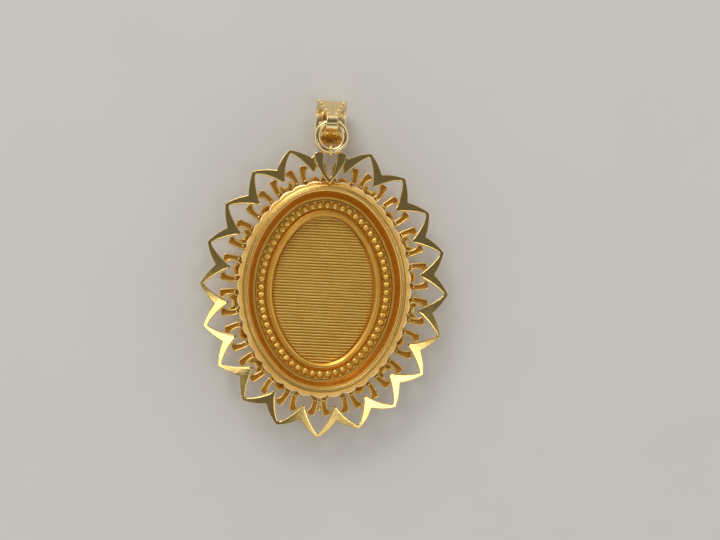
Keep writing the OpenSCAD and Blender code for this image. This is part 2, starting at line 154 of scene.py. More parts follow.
def place(turn, along):
    """Arc centre x and y, direction clockwise from +Y, and rim radius, at a share of the turn."""
    end_len = (END_R + along) * math.pi / 4
    side_len = (SIDE_R + along) * math.pi / 4
    four = (turn % 1.0) * 4
    quarter = int(four)
    s = (four - quarter) * (end_len + side_len)
    if quarter % 2:
        s = end_len + side_len - s
    if s <= end_len:
        x, y, angle, radius = 0.0, ARC_C, s / (END_R + along), END_R
    else:
        x, y, angle, radius = -ARC_C, 0.0, math.pi / 4 + (s - end_len) / (SIDE_R + along), SIDE_R
    if quarter == 1:
        return x, -y, math.pi - angle, radius
    if quarter == 2:
        return -x, -y, math.pi + angle, radius
    if quarter == 3:
        return -x, y, 2 * math.pi - angle, radius
    return x, y, angle, radius


def spot(turn, along, out):
    """The point at distance out from the rim line, at a share of the turn."""
    x, y, angle, radius = place(turn, along)
    return Vector((x + (radius + out) * math.sin(angle), y + (radius + out) * math.cos(angle)))


def place_matrix(turn, along):
    """Moves [x along the oval, y outside the rim, z] to its place at a share of the turn."""
    x, y, angle, radius = place(turn, along)
    spin = Matrix.Rotation(-angle, 4, "Z")
    return Matrix.Translation((x, y, 0)) @ spin @ Matrix.Translation((0, radius, 0))


def half_chord(y, out):
    """Half the width of the oval at distance out, at height y."""
    if abs(y) <= (SIDE_R + out) * math.sin(math.pi / 4):
        return math.sqrt((SIDE_R + out) ** 2 - y * y) - ARC_C
    return math.sqrt(max(0.0, (END_R + out) ** 2 - (abs(y) - ARC_C) ** 2))


def ray_under(out):
    """Height of the ray plate's underside at a distance outside the rim."""
    return RAY_Z - RAY_FALL * (out - RAY_LEVEL_OUT)


def strap_half(z):
    """Half the width of the bail's strap at a height."""
    if z <= STRAP_TAPER[0][0]:
        return STRAP_TAPER[0][1]
    for (z0, w0), (z1, w1) in zip(STRAP_TAPER, STRAP_TAPER[1:]):
        if z <= z1:
            return w0 + (w1 - w0) * (z - z0) / (z1 - z0)
    return STRAP_TAPER[-1][1]


# ---------------------------------------------------------------- materials


class Nodes:
    """A small helper that adds and links shader nodes."""

    def __init__(self, name):
        self.material = bpy.data.materials.new(name)
        self.material.use_nodes = True
        self.tree = self.material.node_tree
        self.shader = self.tree.nodes["Principled BSDF"]
        self.place = self.tree.nodes.new("ShaderNodeTexCoord").outputs["Object"]

    def add(self, kind, inputs=None, **settings):
        node = self.tree.nodes.new(kind)
        for key, value in settings.items():
            setattr(node, key, value)
        for key, value in (inputs or {}).items():
            if isinstance(value, bpy.types.NodeSocket):
                self.tree.links.new(value, node.inputs[key])
            else:
                node.inputs[key].default_value = value
        return node

    def stretched(self, scale, rotation=(0, 0, 0)):
        node = self.add("ShaderNodeMapping", {"Vector": self.place, "Scale": scale, "Rotation": rotation})
        return node.outputs["Vector"]

    def noise(self, scale, detail=3.0, vector=None, roughness=0.55):
        inputs = {"Vector": vector or self.place, "Scale": scale, "Detail": detail, "Roughness": roughness}
        return self.add("ShaderNodeTexNoise", inputs).outputs["Fac"]

    def span(self, value, low, high, to_low=0.0, to_high=1.0):
        inputs = {"Value": value, "From Min": low, "From Max": high, "To Min": to_low, "To Max": to_high}
        return self.add("ShaderNodeMapRange", inputs).outputs["Result"]

    def mix(self, factor, a, b):
        node = self.add("ShaderNodeMix", {0: factor}, data_type="RGBA")
        for index, value in ((6, a), (7, b)):
            if isinstance(value, bpy.types.NodeSocket):
                self.tree.links.new(value, node.inputs[index])
            else:
                node.inputs[index].default_value = (*value, 1)
        return node.outputs[2]

    def height(self):
        return self.add("ShaderNodeSeparateXYZ", {"Vector": self.place}).outputs["Z"]

    def bump(self, value, distance, strength=1.0, before=None):
        inputs = {"Height": value, "Distance": distance, "Strength": strength}
        if before:
            inputs["Normal"] = before
        return self.add("ShaderNodeBump", inputs).outputs["Normal"]

    def finish(self, colour, roughness, normal):
        self.tree.links.new(colour, self.shader.inputs["Base Color"])
        self.tree.links.new(roughness, self.shader.inputs["Roughness"])
        self.tree.links.new(normal, self.shader.inputs["Normal"])
        self.shader.inputs["Metallic"].default_value = 1.0
        return self.material


def gold(name, base, stain, smooth, dull, scratch=0.5, ripple=0.0, painted_depth_shade=None):
    """Gold with blotches of a second tone, fine scratches in two directions and faint hammer ripples.

    The optional depth shade is (low z, high z, colour) in millimetres: a darker colour blended in towards the
    low height, painted shade in hollows.
    """
    n = Nodes(name)
    blotch = n.span(n.noise(420.0, 4.0), 0.35, 0.7)
    colour = n.mix(blotch, base, stain)
    if painted_depth_shade:
        low, high, shade = painted_depth_shade
        # Painted shade: the colour darkens towards the low height.
        colour = n.mix(n.span(n.height(), low * MM, high * MM), shade, colour)
    lines_a = n.noise(1.0, 2.0, n.stretched((16000, 700, 700), (0, 0, 0.6)))
    lines_b = n.noise(1.0, 2.0, n.stretched((900, 14000, 900), (0, 0, -0.3)))
    wear = n.add("ShaderNodeMath", {0: lines_a, 1: lines_b}, operation="MULTIPLY").outputs[0]
    grain = n.noise(5200.0, 2.0)
    rough = n.add("ShaderNodeMath", {0: grain, 1: blotch}, operation="ADD").outputs[0]
    roughness = n.span(rough, 0.3, 1.5, smooth, dull)
    normal = n.bump(wear, 0.000012, scratch)
    normal = n.bump(grain, 0.000006, scratch, normal)
    if ripple:
        normal = n.bump(n.noise(900.0, 2.0), 0.00004, ripple, normal)
    return n.finish(colour, roughness, normal)


POLISHED = gold("polished_gold", (0.94, 0.70, 0.27), (0.90, 0.63, 0.21), 0.08, 0.16, 0.2, 0.15)
BEZEL = gold("bezel_gold", (0.98, 0.77, 0.34), (0.94, 0.69, 0.26), 0.16, 0.26, 0.05)
# A darker, redder gold on the collar than on the polished parts: painted shade.
COLLAR = gold("collar_gold", (0.80, 0.49, 0.13), (0.70, 0.38, 0.08), 0.2, 0.36, 0.15, 0.1)
# Paler gold for the outer rows of the collar's scalloped edge: a painted highlight.
EDGE_HIGHLIGHT = gold("painted_highlight_edge_gold", (1.0, 0.80, 0.44), (0.92, 0.64, 0.28), 0.2, 0.34, 0.15, 0.1)
SATIN = gold("satin_gold", (0.88, 0.50, 0.10), (0.78, 0.40, 0.06), 0.3, 0.44, 0.25)
# A brighter, yellower gold on the deep-set lobes: painted light making up for their shade.
LOBES = gold("lobe_gold", (1.0, 0.74, 0.22), (0.95, 0.64, 0.16), 0.3, 0.45, 0.2)
# A darker, redder gold on the sloping wall, darkest towards its foot: painted shade inside the tray.
LINER = gold(
    "liner_gold", (0.82, 0.42, 0.06), (0.70, 0.33, 0.04), 0.3, 0.46, 0.4,
    painted_depth_shade=(3.4, 5.9, (0.62, 0.28, 0.03)),
)
# The ribs are painted a little darker towards their grooves: painted shade.
RIBS = gold(
    "rib_gold", (0.87, 0.65, 0.21), (0.82, 0.58, 0.16), 0.36, 0.5, 0.4,
    painted_depth_shade=(PANEL_Z, PANEL_Z + 0.5 * RIB_H, (0.80, 0.57, 0.18)),
)
# The bead channel is painted darker towards its floor: painted shade between the beads.
CHANNEL = gold(
    "channel_gold", (0.98, 0.66, 0.17), (0.90, 0.55, 0.11), 0.4, 0.54, 0.25,
    painted_depth_shade=(CHANNEL_Z, CHANNEL_Z + 0.3, (0.86, 0.50, 0.09)),
)
BEADS = gold("bead_gold", (1.0, 0.74, 0.20), (0.96, 0.64, 0.14), 0.28, 0.4, 0.2)
# Darker, redder gold for the brackets' sunk grooves: painted shade.
GROOVE = gold("groove_painted_shade_gold", (0.66, 0.31, 0.045), (0.52, 0.21, 0.025), 0.3, 0.5, 0.6)
EDGE = gold("edge_gold", (0.97, 0.74, 0.30), (0.92, 0.63, 0.20), 0.18, 0.3, 0.3)
RING_GOLD = gold("ring_gold", (0.95, 0.77, 0.42), (0.90, 0.68, 0.32), 0.1, 0.2, 0.3, 0.2)
BACK_GOLD = gold("back_gold", (0.86, 0.60, 0.22), (0.78, 0.50, 0.15), 0.18, 0.34, 0.6, 0.2)

# ---------------------------------------------------------------- meshes


def object_from(name, bm, materials, body, nodes, sharp=38):
    """Makes an object in metres from a mesh in millimetres, and places it in the frame."""
    bmesh.ops.recalc_face_normals(bm, faces=bm.faces)
    bmesh.ops.scale(bm, vec=(MM, MM, MM), verts=bm.verts)
    for face in bm.faces:
        face.smooth = True
    for edge in bm.edges:
        if len(edge.link_faces) == 2:
            edge.smooth = edge.calc_face_angle(0) < math.radians(sharp)
    mesh = bpy.data.meshes.new(name)
    bm.to_mesh(mesh)
    bm.free()
    piece = bpy.data.objects.new(name, mesh)
    bpy.context.scene.collection.objects.link(piece)
    for material in materials:
        mesh.materials.append(material)
    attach(piece, body)
    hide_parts(*nodes)
    return piece


def skin(bm, rows, close_rows=False, close_cols=True, index=None, caps=False):
    """Joins rows of points with quads. index(row, column) picks a face's material."""
    grid = [[bm.verts.new(p) for p in row] for row in rows]
    count = len(grid)
    width = len(grid[0])
    for i in range(count if close_rows else count - 1):
        for j in range(width if close_cols else width - 1):
            i1, j1 = (i + 1) % count, (j + 1) % width
            face = bm.faces.new((grid[i][j], grid[i][j1], grid[i1][j1], grid[i1][j]))
            if index:
                face.material_index = index(i, j)
    if caps:
        bm.faces.new(grid[0])
        bm.faces.new(reversed(grid[-1]))
    return grid


def rounded(points, radius, steps=4):
    """Rounds the corners of a closed outline. radius is one number or one for each corner."""
    result = []
    count = len(points)
    for i, point in enumerate(points):
        p = Vector(point)
        before = Vector(points[i - 1]) - p
        after = Vector(points[(i + 1) % count]) - p
        r = radius[i] if isinstance(radius, (list, tuple)) else radius
        cut = min(r, before.length * 0.48, after.length * 0.48)
        if cut <= 0:
            result.append(p)
            continue
        a = p + before.normalized() * cut
        b = p + after.normalized() * cut
        for k in range(steps + 1):
            t = k / steps
            result.append(a * (1 - t) ** 2 + p * 2 * t * (1 - t) + b * t * t)
    return result


def oval_ring(name, profile, material, node, body="tray", stations=OVAL_STEPS, shape=None, edge=None):
    """Sweeps a closed profile of (distance outside the rim, height) round the oval.

    edge is (material, first column, last column) for a strip of another gold.
    """
    bm = bmesh.new()
    rows = []
    for k in range(stations):
        turn = k / stations
        row = []
        for out, z in profile:
            if shape:
                out, z = shape(turn, out, z)
            p = spot(turn, 0.0, out)
            row.append((p.x, p.y, z))
        rows.append(row)
    golds = [material, edge[0]] if edge else [material]
    skin(bm, rows, close_rows=True, index=lambda _, c: 1 if edge and edge[1] <= c <= edge[2] else 0)
    return object_from(name, bm, golds, body, [node])


def oval_disc(name, levels, material, node, stations=OVAL_STEPS):
    """A closed oval plate whose edge follows levels of (distance outside the rim, height)."""
    bm = bmesh.new()
    rows = []
    for out, z in levels:
        row = []
        for k in range(stations):
            p = spot(k / stations, 0.0, out)
            row.append((p.x, p.y, z))
        rows.append(row)
    skin(bm, rows, caps=True)
    return object_from(name, bm, [material], "tray", [node])


def ball(bm, centre, radius, matrix=None, floor=None, segments=20, rings=14, stretch=(1, 1), waist=0.0):
    """A slightly uneven ball, cut flat at floor, with a crease of depth waist over its top."""
    squash = Matrix.Diagonal((
        stretch[0] * (1 + random.uniform(-0.03, 0.03)), stretch[1] * (1 + random.uniform(-0.03, 0.03)), 1, 1
    ))
    made = bmesh.ops.create_uvsphere(bm, u_segments=segments, v_segments=rings, radius=radius)["verts"]
    bmesh.ops.transform(bm, matrix=Matrix.Translation(centre) @ squash, verts=made)
    for vert in made:
        if waist and vert.co.z > centre[2]:
            vert.co.z -= waist * math.exp(-(((vert.co.y - centre[1]) / (0.3 * radius)) ** 2))
        if floor is not None:
            vert.co.z = max(vert.co.z, floor)
    if matrix:
        bmesh.ops.transform(bm, matrix=matrix, verts=made)
    return made


# ---------------------------------------------------------------- tray


def band(inside, outside, low, high):
    """The outline of an upright ring with slightly rounded corners."""
    return rounded([(inside, low), (outside, low), (outside, high), (inside, high)], 0.03, 2)


def build_tray():
    """Back plate, wall, spacer, ledge, sloping liner and the sharp ridge of the bezel."""
    flange = 0.25
    oval_disc(
        "back_plate_shell",
        [(-9.0, 0.0), (flange - 0.12, 0.0), (flange - 0.04, 0.03), (flange, 0.12), (flange, BACK_T - 0.12),
         (flange - 0.04, BACK_T - 0.03), (flange - 0.12, BACK_T), (-9.0, BACK_T)],
        BACK_GOLD, "back_plate",
    )
    wall = band(WALL_IN, WALL_OUT, BACK_T, WALL_TOP)
    oval_ring("outer_wall", wall, POLISHED, "case_wall")
    spacer_top = node_box("panel_spacer")[1].z
    spacer = band(SEAT_IN, WALL_IN, BACK_T, spacer_top)
    oval_ring("spacer_ring", spacer, SATIN, "panel_spacer")
    seat_low = node_box("seat_ring")[0].z
    step = SEAT_Z - 0.1
    seat = rounded(
        [(SEAT_IN, seat_low), (WALL_IN, seat_low), (WALL_IN, step), (LINER_FOOT, step), (LINER_FOOT, SEAT_Z),
         (SEAT_IN, SEAT_Z)],
        [0.03, 0, 0, 0, 0, 0.09], 4,
    )
    oval_ring("seat_ledge", seat, SATIN, "seat_ring")
    liner = [
        (LINER_FOOT, step), (WALL_IN, step), (WALL_IN, WALL_TOP), (WALL_IN - 0.12, WALL_TOP),
        (-0.74, 5.2), (-0.9, 4.6), (-1.08, 4.0), (-1.2, 3.6), (LINER_FOOT, SEAT_Z),
    ]
    oval_ring("sloping_liner", liner, LINER, "wall_liner")
    bezel = rounded(
        [(0.1, WALL_TOP), (0.06, WALL_TOP + 0.1), (-0.07, WALL_TOP + 0.04), (-0.22, WALL_TOP + 0.4),
         (-0.42, WALL_TOP + 0.1), (-0.52, WALL_TOP)],
        [0, 0.03, 0.02, 0.09, 0.05, 0], 5,
    )
    oval_ring("bezel_band", bezel, BEZEL, "bezel_rim", stations=400)


def build_collar():
    """The sloping collar: a thin sheet whose edge is drawn out into fluted scallops."""
    slope = (COLLAR_EDGE_Z - WALL_TOP) / (COLLAR_REACH - COLLAR_CREASE)

    def shape(turn, share, depth):
        wave = abs(math.cos(math.pi * SCALLOPS * turn))
        reach = COLLAR_NOTCH + SCALLOP * wave ** 0.8
        out = COLLAR_CREASE + (reach - COLLAR_CREASE) * share if share > 0 else share
        top = WALL_TOP + slope * max(0.0, out - COLLAR_CREASE)
        flute = 0.09 * (wave - 0.6) * max(0.0, share) ** 2
        return out, top + flute - depth

    # Each point is [share of the way to the edge, depth below the slope]. A share under 0
    # is a plain distance from the rim line.
    profile = [(WALL_OUT, COLLAR_T), (WALL_OUT, 0.0), (0.0, 0.0), (0.12, 0.01), (0.3, 0.02), (0.5, 0.02)]
    profile += [(0.62, 0.03), (0.68, 0.035), (0.76, 0.0), (0.84, -0.01), (0.92, 0.005)]
    profile += [(0.97, 0.05), (1.0, 0.13), (0.995, COLLAR_T - 0.03), (0.96, COLLAR_T), (0.0, COLLAR_T + 0.1)]
    # The outer rows of the edge take the paler gold, a painted highlight.
    oval_ring(
        "collar_flange", profile, COLLAR, "scalloped_collar",
        stations=SCALLOPS * 16, shape=shape, edge=(EDGE_HIGHLIGHT, 7, 12),
    )


def gallery_lobe(s, n):
    """Length of a lobe of the gallery, with s from -1 to 1 across it and n counted from the heart."""
    low = n == PLACES // 2 - 1
    horn = HORN_LEN * max(0.0, 1 - ((abs(s) - HORN_PLACE) / HORN_WIDTH) ** 2) ** 2
    length = LOBE_STUB if low else LOBE_LEN
    horned = n % 2 and not low
    return LOBE_FOOT + length * math.sqrt(math.cos(math.pi / 2 * s)) + (horn if horned else 0.0)


def build_gallery():
    """The lobed lower ring: each lobe has a thick rolled edge."""
    rows = []
    broad_faces = []
    steps = 22
    for i in range(PLACES):
        n = min(i, PLACES - 1 - i)
        for k in range(-steps, steps + 1):
            s = k / steps
            turn = (i + 0.5 + LOBE_SPAN * s) / PLACES
            edge = gallery_lobe(max(-0.999, min(0.999, s)), n)
            width = edge - WALL_OUT
            roll = min(0.36, 0.3 * width)
            section = [
                (WALL_OUT, GALLERY_Z), (WALL_OUT, GALLERY_TOP - 0.2), (edge - 2.2 * roll, GALLERY_TOP - 0.2),
                (edge - 1.9 * roll, GALLERY_TOP - 0.15), (edge - 1.5 * roll, GALLERY_TOP - 0.03),
                (edge - 1.1 * roll, GALLERY_TOP), (edge - 0.7 * roll, GALLERY_TOP - 0.02),
                (edge - 0.3 * roll, GALLERY_TOP - 0.09), (edge, GALLERY_TOP - 0.24),
                (edge - 0.02, GALLERY_Z + 0.06), (edge - 0.1, GALLERY_Z),
            ]
            row = []
            for out, z in section:
                p = spot(turn, RAY_OUT, out)
                row.append((p.x, p.y, z))
            rows.append(row)
            broad_faces.append(1 if n % 2 == 0 or n == PLACES // 2 - 1 else 0)
    bm = bmesh.new()
    skin(bm, rows, close_rows=True, index=lambda r, _: broad_faces[r])
    object_from("lobed_gallery", bm, [LOBES, SATIN], "tray", ["gallery_ring"])


def build_panel():
    """The ribbed panel: rounded ribs from side to side, inside a flat border."""
    bm = bmesh.new()
    across = 40
    rows = []
    profile = [(-0.5, 0.0), (-0.45, 0.06), (-0.38, 0.4), (-0.28, 0.8), (-0.12, 0.97)]
    profile += [(0.0, 1.0), (0.12, 0.97), (0.28, 0.8), (0.38, 0.4), (0.45, 0.06)]
    for i in range(RIB_COUNT):
        mid = (i - (RIB_COUNT - 1) / 2) * RIB_PITCH
        bend = random.uniform(-0.015, 0.015)
        level = random.uniform(-0.02, 0.0)
        for share, lift in profile:
            y = mid + share * RIB_PITCH
            reach = max(0.25, half_chord(min(abs(y), 10.85), RIB_EDGE))
            row = []
            for k in range(across + 1):
                x = reach * (2 * k / across - 1)
                fade = min(1.0, (reach - abs(x)) / 0.18)
                z = PANEL_Z + lift * (RIB_H + level) * fade
                row.append((x, y + bend * math.cos(x * 0.4) * lift, z))
            rows.append(row)
    skin(bm, rows, close_cols=False)
    for vert in [v for v in bm.verts if v.is_boundary]:
        vert.co.z = PANEL_Z
    edge = [e for e in bm.edges if e.is_boundary]
    border = bmesh.ops.extrude_edge_only(bm, edges=edge)["geom"]
    for vert in [g for g in border if isinstance(g, bmesh.types.BMVert)]:
        vert.co.z = PANEL_Z - 0.12
    rows = []
    panel_low = node_box("ribbed_panel")[0].z
    for out, z in ((-4.6, PANEL_Z), (WALL_IN, PANEL_Z), (WALL_IN, panel_low), (-4.6, panel_low)):
        row = []
        for k in range(OVAL_STEPS):
            p = spot(k / OVAL_STEPS, 0.0, out)
            row.append((p.x, p.y, z - (0.02 if out < -4 else 0.0)))
        rows.append(row)
    skin(bm, rows, caps=True)
    object_from("ribbed_back", bm, [RIBS], "tray", ["ribbed_panel"])


def build_picture_frame():
    """The inner frame: a channel with a row of beads, and the inner ring."""
    lip = FRAME_OUT - LIP_T
    channel = rounded(
        [(CHANNEL_IN, FRAME_LOW), (FRAME_OUT, FRAME_LOW), (FRAME_OUT, LIP_Z), (lip, LIP_Z), (lip, CHANNEL_Z),
         (CHANNEL_IN, CHANNEL_Z)],
        [0, 0.04, 0.05, 0.05, 0.05, 0], 4,
    )
    oval_ring("bead_channel", channel, CHANNEL, "frame_channel", "picture_frame")
    half = (CHANNEL_IN - FRAME_IN) / 2
    mid = FRAME_IN + half
    turn_z = INNER_TOP - half
    crest = [
        (mid + half * math.cos(a), turn_z + half * math.sin(a) * 0.98)
        for a in [math.pi * (k / 16) for k in range(17)]
    ]
    # The last part of the round is cut back to a small step on the side of the picture.
    crest[12:] = [
        (FRAME_IN + 0.09, turn_z + 0.34), (FRAME_IN + 0.07, turn_z + 0.2), (FRAME_IN, turn_z + 0.16),
        (FRAME_IN, turn_z),
    ]
    inner = [(CHANNEL_IN, FRAME_LOW)] + crest + [(FRAME_IN, FRAME_LOW)]
    oval_ring("inner_bead_ring", inner, SATIN, "frame_inner_ring", "picture_frame")
    bm = bmesh.new()
    middle = (lip + CHANNEL_IN) / 2
    for k in range(BEAD_COUNT):
        size = BEAD_R * random.uniform(0.975, 1.0)
        ball(
            bm, (random.uniform(-0.02, 0.02), middle, CHANNEL_Z + 0.25), size,
            place_matrix(k / BEAD_COUNT, middle), floor=CHANNEL_Z, segments=28, rings=20, stretch=(0.96, 1.2),
            waist=0.05,
        )
    object_from("bead_row", bm, [BEADS], "picture_frame", ["frame_beads"], sharp=60)


# ---------------------------------------------------------------- brackets


def shoe_path():
    """Points along a bracket's middle line, from one foot round the arch to the other."""
    right = []
    steps = 14
    for k in range(steps + 1):
        a = math.radians(-90 + 90 * k / steps)
        right.append(Vector((ARCH_R * math.cos(a), ARCH_OUT + ARCH_R * math.sin(a))))
    steps = 8
    turn = math.asin((FOOT_OUT - ARCH_OUT) / LEG_R)
    for k in range(1, steps + 1):
        a = turn * k / steps
        right.append(Vector((ARCH_R - LEG_R + LEG_R * math.cos(a), ARCH_OUT + LEG_R * math.sin(a))))
    left = [Vector((-p.x, p.y)) for p in reversed(right)]
    return left + right[1:]


def strip_loop(path, sides, inset):
    """A closed loop round a bent strip. sides gives the width left and right of each point."""
    count = len(path)
    loop = []
    steps = 10

    def reach(k, side):
        return max(0.02, sides[k][side] - inset)

    def end(k, forward, first, last):
        for step in range(1, steps):
            share = step / steps
            angle = math.pi / 2 - math.pi * share
            radius = reach(k, first) * (1 - share) + reach(k, last) * share
            radius *= 1 - 0.5 * math.cos(angle) ** 2
            loop.append(path[k] + Matrix.Rotation(angle, 2) @ forward * radius)

    ways = []
    for k in range(count):
        ways.append((path[min(count - 1, k + 1)] - path[max(0, k - 1)]).normalized())
    for k in range(count):
        loop.append(path[k] + Vector((-ways[k].y, ways[k].x)) * reach(k, 0))
    end(count - 1, ways[-1], 0, 1)
    for k in reversed(range(count)):
        loop.append(path[k] + Vector((ways[k].y, -ways[k].x)) * reach(k, 1))
    end(0, -ways[0], 1, 0)
    return loop


def shoe_sides(count):
    """Widths of the strip: even along the arch, with a toe outside and a heel inside each foot."""
    sides = []
    for k in range(count):
        near = max(0.0, 1 - min(k, count - 1 - k) / 5)
        toe = SHOE_HALF_W + 0.09 * near
        heel = SHOE_HALF_W + 0.34 * near ** 2
        sides.append((heel, toe))
    return sides


def build_bracket(i):
    """A horseshoe strip with raised bright borders and a sunk groove, whose darker, redder gold is painted
    shade.
    """
    path = shoe_path()
    sides = shoe_sides(len(path))
    border = 0.12
    levels = [(0.06, -0.9), (0.0, -0.85), (0.0, -border)]
    for k in range(1, 9):
        angle = math.pi * (1 - k / 8)
        levels.append((border * (1 + math.cos(angle)), border * (math.sin(angle) - 1)))
    levels += [(0.25, -0.2), (0.3, -0.2), (0.38, -0.18), (0.46, -0.17)]
    edge_rows = 9
    bm = bmesh.new()
    rows = []
    for inset, level in levels:
        row = []
        for point in strip_loop(path, sides, inset):
            z = max(SHOE_Z, SHOE_TOP + level)
            row.append(Vector((point.x, point.y, min(z, ray_under(point.y)))))
        rows.append(row)
    grid = skin(bm, rows, index=lambda r, _: 1 if r >= edge_rows else 0)
    bridge(bm, grid[0], len(path), 0)
    bridge(bm, grid[-1], len(path), 1)
    matrix = place_matrix((i + 0.5) / PLACES, RAY_OUT) @ Matrix.Rotation(random.uniform(-0.02, 0.02), 4, "Z")
    bmesh.ops.transform(bm, matrix=matrix, verts=bm.verts)
    name = f"horseshoe_{i + 1:02d}"
    object_from(f"bracket_{i + 1:02d}", bm, [EDGE, GROOVE], "tray", [name], sharp=50)


def bridge(bm, ring, count, material):
    """Closes a strip's loop: quads across the strip and a fan at each end."""
    length = len(ring)
    caps = length // 2 - count
    for k in range(count - 1):
        other = length - 1 - caps - k
        face = bm.faces.new((ring[k], ring[k + 1], ring[other - 1], ring[other]))
        face.material_index = material
    for start in (count - 1, length - 1 - caps):
        face = bm.faces.new([ring[(start + k) % length] for k in range(caps + 2)])
        face.material_index = material


def build_solder():
    """A bright grain at the root of each bracket's two legs."""
    bm = bmesh.new()
    for i in range(PLACES):
        for side in (-1, 1):
            centre = (
                side * ARCH_R * math.cos(SOLDER_TURN) + random.uniform(-0.03, 0.03),
                ARCH_OUT - ARCH_R * math.sin(SOLDER_TURN) + random.uniform(-0.04, 0.02),
                SHOE_TOP - GROOVE_D + 0.1,
            )
            ball(
                bm, centre, 0.22 * random.uniform(0.85, 1.0), place_matrix((i + 0.5) / PLACES, RAY_OUT),
                floor=SHOE_TOP - GROOVE_D, segments=14, rings=10,
            )
    object_from("solder_grains", bm, [EDGE], "tray", ["solder_beads"], sharp=60)


def torus(bm, centre, major, minor, axis="Z", around=48, across=14, floor=None):
    """A round wire bent to a ring about an axis, cut flat at floor."""
    rows = []
    for k in range(around):
        a = 2 * math.pi * k / around
        row = []
        for m in range(across):
            b = 2 * math.pi * m / across
            r = major + minor * math.cos(b)
            p = Vector((r * math.cos(a), r * math.sin(a), minor * math.sin(b)))
            if axis == "X":
                p = Vector((p.z, p.x, p.y))
            p += Vector(centre)
            if floor is not None:
                p.z = max(p.z, floor)
            row.append(p)
        rows.append(row)
    skin(bm, rows, close_rows=True)


def build_link():
    """The small loop between the two lowest brackets, with a drop of metal under it."""
    bm = bmesh.new()
    torus(bm, (0, 1.8, 0), 0.33, 0.13, around=32, across=12)
    torus(bm, (0, 2.62, 0), 0.2, 0.15, around=24, across=12)
    matrix = place_matrix(0.5, RAY_OUT) @ Matrix.Translation((0, 0, SHOE_Z + 0.5))
    bmesh.ops.transform(bm, matrix=matrix, verts=bm.verts)
    object_from("low_link", bm, [EDGE], "tray", ["bottom_link"])


# ---------------------------------------------------------------- rays


def soft_end(t, width):
    """Runs from 0 to 1 with t, rounded over a short width at 1."""
    return 1 - (math.sqrt((1 - t) ** 2 + width ** 2) - width)


def ray_edge(t, reach):
    """Distance of the rays' outer edge at a share of the way from a notch to a point."""
    lift = math.sqrt(t * t + 0.02 ** 2) - 0.02
    share = min(lift, soft_end(t, 0.07))
    return NOTCH_OUT + (reach - NOTCH_OUT) * share + 4 * RAY_BULGE * t * (1 - t)


def slot_side(t, stretch):
    """Distance of the side of a ray's opening at a share of the way to its point."""
    s = max(0.0, (t - TIP_T) / (1 - TIP_T))
    s = soft_end(s, 0.06)
    return TIP_OUT + (SLOT_OUT - TIP_OUT) * s + 4 * SLOT_BULGE * s * (1 - s) + stretch * t


def ray_samples():
    """Pairs of an inner and an outer point of the ray band, in order round the oval."""
    blunt = 0.12
    shares = [0, 0.03, 0.06, 0.09, 0.12, 0.15, 0.19, 0.24, 0.3, 0.37, 0.45, 0.54, 0.63, 0.72]
    shares += [0.8, 0.87, 0.92, 0.955, 0.98, 1]
    wobble = [random.uniform(-0.05, 0.05) for _ in range(PLACES + 1)]
    pairs = []
    for i in range(PLACES):
        for side in (-1, 1):
            stub = (i == 0 and side < 0) or (i == PLACES - 1 and side > 0)
            peak = i if side < 0 else i + 1
            stretch = LOW_RAY_EXTRA if peak == PLACES // 2 else 0.0
            last = STUB_T if stub else 1.0
            ordered = [s * last for s in shares]
            if side < 0:
                ordered = ordered[::-1]
            else:
                ordered = ordered[1:]
            for t in ordered:
                if side < 0 and t == last and not stub and pairs:
                    continue
                if t < blunt:
                    inner_t = TIP_T * (t / blunt)
                    inner_out = TIP_OUT + 0.05 * (t / blunt) ** 4 - 0.03
                else:
                    inner_t = TIP_T + (t - blunt) / (1 - blunt) * (1 - TIP_T)
                    inner_out = slot_side(inner_t, stretch)
                drift = wobble[peak] * t
                inner = spot((i + 0.5 + side * inner_t / 2) / PLACES, RAY_OUT, inner_out)
                outer_out = ray_edge(t, RAY_OUT + stretch + drift)
                outer = spot((i + 0.5 + side * t / 2) / PLACES, RAY_OUT, outer_out)
                pairs.append((inner, inner_out, outer, outer_out))
    return pairs


def build_rays():
    """One pierced plate that falls towards its points, with soft bright edges."""
    pairs = ray_samples()
    count = len(pairs)
    rows = []
    for k, (inner, inner_out, outer, outer_out) in enumerate(pairs):
        before = pairs[max(0, k - 1)]
        after = pairs[min(count - 1, k + 1)]
        cross = outer - inner
        width = cross.length
        cross.normalize()

        def inset(edge, chamfer):
            sine = abs(cross.x * edge.y - cross.y * edge.x) / max(edge.length, 1e-6)
            return min(chamfer / max(sine, 0.35), width * 0.3)

        cut_in = inset(after[0] - before[0], RAY_SOFT)
        cut_out = inset(after[2] - before[2], RAY_FINE)
        section = [(0.0, 0.0), (0.0, RAY_T - RAY_SOFT)]
        section += [(0.3 * cut_in, RAY_T - 0.3 * RAY_SOFT), (cut_in, RAY_T)]
        section.append((cut_in + 0.15 * (width - cut_in - cut_out), RAY_T))
        middle = width - cut_in - cut_out
        for share in (0.4, 0.6, 0.85, 0.94):
            section.append((cut_in + middle * share, RAY_T))
        section += [(width - cut_out, RAY_T), (width - 0.3 * cut_out, RAY_T - 0.3 * RAY_FINE)]
        section += [(width, RAY_T - RAY_FINE), (width, 0.0), (width * 0.5, 0.0)]
        row = []
        for distance, height in section:
            share = distance / width
            point = inner + cross * distance
            out = inner_out + (outer_out - inner_out) * share
            row.append((point.x, point.y, ray_under(out) + height))
        rows.append(row)
    bm = bmesh.new()
    skin(bm, rows, caps=True)
    object_from("ray_border", bm, [POLISHED], "tray", ["ray_frame"], sharp=50)


# ---------------------------------------------------------------- heart tab

